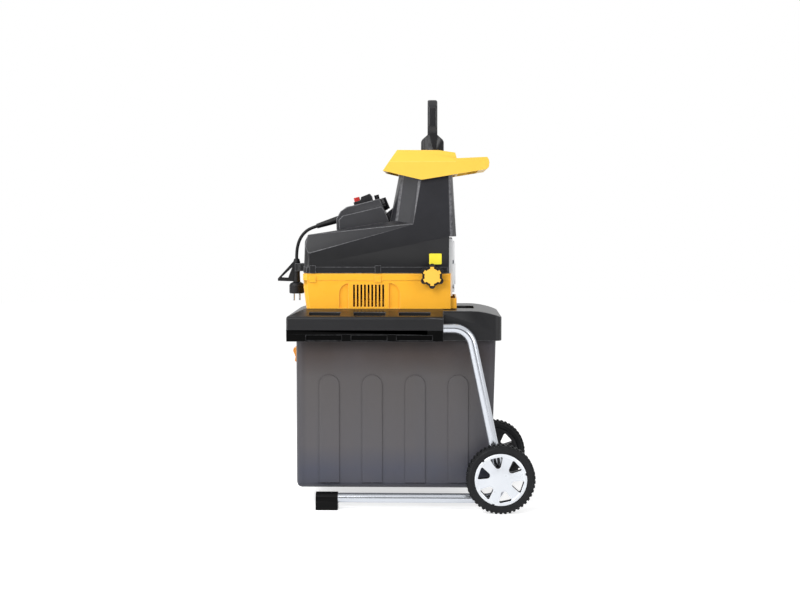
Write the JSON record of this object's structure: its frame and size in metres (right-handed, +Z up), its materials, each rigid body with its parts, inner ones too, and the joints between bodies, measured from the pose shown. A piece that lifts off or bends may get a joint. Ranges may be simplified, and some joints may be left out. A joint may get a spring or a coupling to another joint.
{
  "type": "garden shredder",
  "caption": "Quiet drum garden shredder on a wheeled tube frame with pull-out collection box, yellow hopper, plunger, setting knob and short mains cord.",
  "frame": {"origin": "middle of the footprint on the ground, cord left out", "axes": "+Z up, +X from the motor end to the wheel end, +Y across, the setting knob is on the -Y side"},
  "size_m": [0.6777, 0.484, 1.061],
  "materials": {
    "black_plastic": "fine-grained black moulding",
    "gloss_black": "smooth black moulding",
    "orange_plastic": "orange moulding",
    "yellow_plastic": "warm yellow moulding",
    "smoke_plastic": "smoke-grey moulding",
    "red_plastic": "red moulding",
    "green_plastic": "green moulding",
    "silver_paint": "silver coating",
    "silver_plastic": "silver-coloured moulding",
    "tyre_rubber": "moulded tread",
    "cord_rubber": "black jacket",
    "steel": "turned steel",
    "cast_alloy": "cast, bare",
    "bronze": "sintered bush",
    "copper_winding": "lacquered winding"
  },
  "bodies": {
    "machine": {"deck": "black_plastic", "deck_screws": "steel", "frame_tube_left": "silver_paint", "frame_tube_right": "silver_paint", "foot_left": "black_plastic", "foot_right": "black_plastic", "axle": "steel", "axle_retainers": "steel", "box_safety_switch": "black_plastic", "base_housing": "orange_plastic", "top_cover": "black_plastic", "cutter_end_cover": "cast_alloy", "end_cover_screws": "steel", "hopper": "yellow_plastic", "feed_chute": "black_plastic", "cutter_housing": "cast_alloy", "drum_bearings": "steel", "idler_bushes": "bronze", "gearbox_case": "cast_alloy", "gearbox_plate": "cast_alloy", "motor_frame": "cast_alloy", "motor_stator": "steel", "motor_windings": "copper_winding", "motor_bearings": "steel", "run_capacitor": "silver_plastic", "spindle_bush": "bronze", "switch_console": "black_plastic", "switch_frame": "gloss_black", "cord_boot": "cord_rubber", "power_cord": "cord_rubber", "plug": "gloss_black", "plug_pins": "steel"},
    "wheel_left": {"wheel_rim_left": "black_plastic", "tyre_left": "tyre_rubber", "hubcap_left": "silver_plastic"},
    "wheel_right": {"wheel_rim_right": "black_plastic", "tyre_right": "tyre_rubber", "hubcap_right": "silver_plastic"},
    "box": {"collection_box": "smoke_plastic"},
    "latch": {"box_latch": "orange_plastic"},
    "pusher": {"plunger": "black_plastic"},
    "knob": {"setting_knob": "gloss_black", "knob_inlay": "yellow_plastic", "setting_spindle": "steel"},
    "plate": {"counter_plate": "steel"},
    "rotor": {"motor_rotor": "steel", "motor_shaft": "steel", "cooling_fan": "black_plastic"},
    "idler": {"idler_shaft": "steel", "idler_gear": "steel"},
    "drum": {"cutter_drum": "steel", "drum_shaft": "steel", "drum_gear": "steel"},
    "stop": {"stop_button": "red_plastic"},
    "start": {"start_button": "green_plastic"},
    "reset": {"reset_button": "gloss_black"},
    "selector": {"direction_selector": "gloss_black"}
  },
  "joints": [
    {"name": "wheel_left_spin", "type": "hinge", "parent": "machine", "child": "wheel_left", "pos_m": [0.23, -0.219, 0.088], "axis": [0, 1, 0], "continuous": true},
    {"name": "wheel_right_spin", "type": "hinge", "parent": "machine", "child": "wheel_right", "pos_m": [0.23, 0.219, 0.088], "axis": [0, 1, 0], "continuous": true},
    {"name": "box_slide", "type": "slide", "parent": "machine", "child": "box", "axis": [-1, 0, 0], "range_m": [0, 0.45]},
    {"name": "latch_slide", "type": "slide", "parent": "box", "child": "latch", "axis": [0, 0, 1], "range_m": [0, 0.01]},
    {"name": "plunger_lift", "type": "slide", "parent": "machine", "child": "pusher", "axis": [0, 0, 1], "range_m": [0, 0.3]},
    {"name": "knob_turn", "type": "hinge", "parent": "machine", "child": "knob", "pos_m": [0.055, -0.13, 0.6], "axis": [0, 1, 0], "range_deg": [0, 1440]},
    {"name": "plate_feed", "type": "slide", "parent": "machine", "child": "plate", "axis": [0, 1, 0], "range_m": [0, 0.006]},
    {"name": "motor_spin", "type": "hinge", "parent": "machine", "child": "rotor", "pos_m": [-0.14, -0.02502, 0.60001], "axis": [1, 0, 0], "continuous": true},
    {"name": "idler_spin", "type": "hinge", "parent": "machine", "child": "idler", "pos_m": [-0.03, -0.04652, 0.64376], "axis": [1, 0, 0], "continuous": true},
    {"name": "drum_spin", "type": "hinge", "parent": "machine", "child": "drum", "pos_m": [0.055, 0.02, 0.6], "axis": [1, 0, 0], "continuous": true},
    {"name": "stop_press", "type": "slide", "parent": "machine", "child": "stop", "axis": [0.2476, 0, -0.9689], "range_m": [0, 0.003], "stiffness_N_per_m": 500},
    {"name": "start_press", "type": "slide", "parent": "machine", "child": "start", "axis": [0.2476, 0, -0.9689], "range_m": [0, 0.003], "stiffness_N_per_m": 500},
    {"name": "reset_press", "type": "slide", "parent": "machine", "child": "reset", "axis": [0.2476, 0, -0.9689], "range_m": [0, 0.003], "stiffness_N_per_m": 500},
    {"name": "selector_turn", "type": "hinge", "parent": "machine", "child": "selector", "pos_m": [-0.07719, 0, 0.78556], "axis": [0.9237, 0, 0.3832], "range_deg": [-30, 30]}
  ],
  "couplings": [
    {"joint": "knob_turn", "follows": "plate_feed", "rad_per_m": 4188.8},
    {"joint": "idler_spin", "follows": "motor_spin", "ratio": -0.2},
    {"joint": "drum_spin", "follows": "motor_spin", "ratio": 0.033333}
  ]
}
